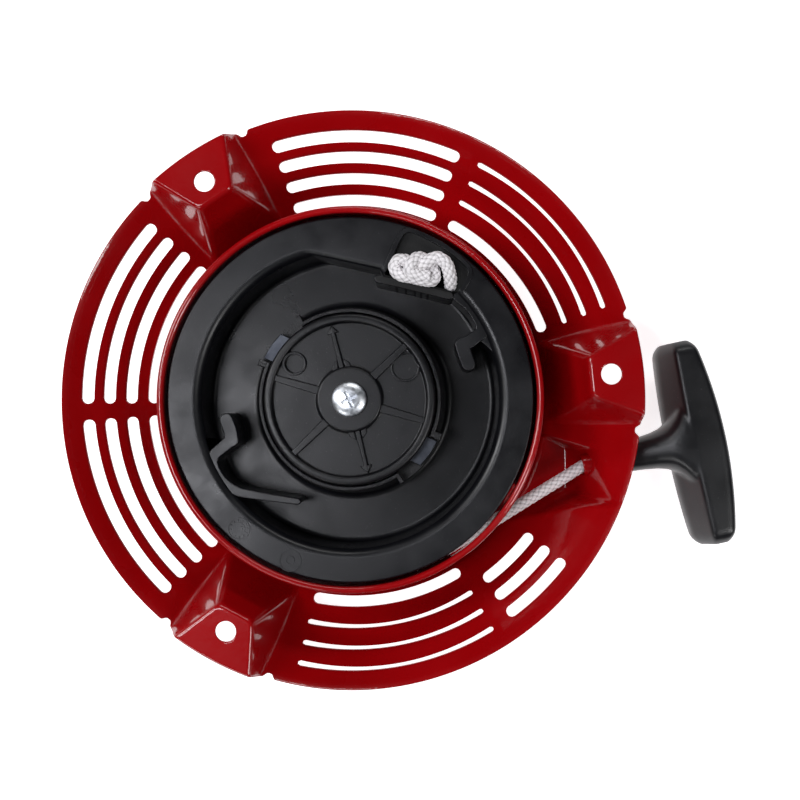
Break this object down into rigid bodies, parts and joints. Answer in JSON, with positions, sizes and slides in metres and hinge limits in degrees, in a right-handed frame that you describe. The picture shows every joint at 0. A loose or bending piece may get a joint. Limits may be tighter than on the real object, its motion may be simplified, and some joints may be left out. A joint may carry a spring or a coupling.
{
  "type": "recoil starter",
  "caption": "Pull starter for a small engine: pressed steel case with three mounting pads, rope reel with pawls and recoil spring, and a T-handle on a braided rope.",
  "frame": {"origin": "centre of the case's flat front face, on the reel's axis, which the starter stands on", "axes": "+Z along the reel's axis towards the engine, +X towards the handle's side, 1.8 degrees clockwise of the first mounting pad seen from the engine; the bolt pattern is symmetric about the direction at 120 degrees from +X"},
  "size_m": [0.2359, 0.2036, 0.0505],
  "materials": {
    "case_paint": "gloss red baked enamel on pressed steel",
    "post_steel": "turned steel, lightly oiled",
    "screw_zinc": "bright zinc plating",
    "spring_steel": "blued spring steel",
    "spring_wire": "drawn spring wire",
    "reel_plastic": "black moulded nylon, satin",
    "guide_plastic": "black moulded nylon, fine texture",
    "pawl_steel": "sintered steel",
    "rope_nylon": "white braided nylon rope",
    "handle_plastic": "black moulded plastic, satin"
  },
  "bodies": {
    "case": {"case_shell": "case_paint", "inner_cup": "case_paint", "centre_post": "post_steel", "setting_screw": "screw_zinc", "recoil_spring": "spring_steel", "rope_lead": "rope_nylon"},
    "reel": {"reel": "reel_plastic", "rope_wound": "rope_nylon", "reel_knot": "rope_nylon", "pawl_spring_1": "spring_wire", "pawl_spring_2": "spring_wire"},
    "guide": {"ratchet_guide": "guide_plastic", "friction_spring": "spring_wire"},
    "pawl_a": {"pawl_1": "pawl_steel"},
    "pawl_b": {"pawl_2": "pawl_steel"},
    "rope_end": {"handle_rope": "rope_nylon", "handle_knot": "rope_nylon"},
    "grip": {"handle": "handle_plastic"}
  },
  "joints": [
    {"name": "reel_spin", "type": "hinge", "parent": "case", "child": "reel", "pos_m": [0, 0, 0.03], "axis": [0, 0, 1], "range_deg": [0, 1350], "stiffness_Nm_per_rad": 0.02, "springref_deg": -859.44, "deforming": ["recoil_spring"]},
    {"name": "guide_lag", "type": "hinge", "parent": "reel", "child": "guide", "pos_m": [0, 0, 0.045], "axis": [0, 0, -1], "range_deg": [0, 25], "stiffness_Nm_per_rad": 0.004, "springref_deg": -11.46},
    {"name": "pawl_1_swing", "type": "hinge", "parent": "reel", "child": "pawl_a", "pos_m": [-0.00382, 0.02167, 0.037], "axis": [0, 0, -1], "range_deg": [0, 15.5]},
    {"name": "pawl_2_swing", "type": "hinge", "parent": "reel", "child": "pawl_b", "pos_m": [0.00382, -0.02167, 0.037], "axis": [0, 0, -1], "range_deg": [0, 15.5]},
    {"name": "handle_pull", "type": "slide", "parent": "case", "child": "rope_end", "axis": [0.9903, 0.1392, 0], "range_m": [0, 1.36]},
    {"name": "handle_twist", "type": "hinge", "parent": "rope_end", "child": "grip", "pos_m": [0.082, -0.0287, 0.0185], "axis": [0.9903, 0.1392, 0], "continuous": true}
  ],
  "couplings": [
    {"joint": "pawl_1_swing", "follows": "guide_lag", "ratio": 0.6},
    {"joint": "pawl_2_swing", "follows": "guide_lag", "ratio": 0.6},
    {"joint": "handle_pull", "follows": "reel_spin", "m_per_rad": 0.0572}
  ]
}
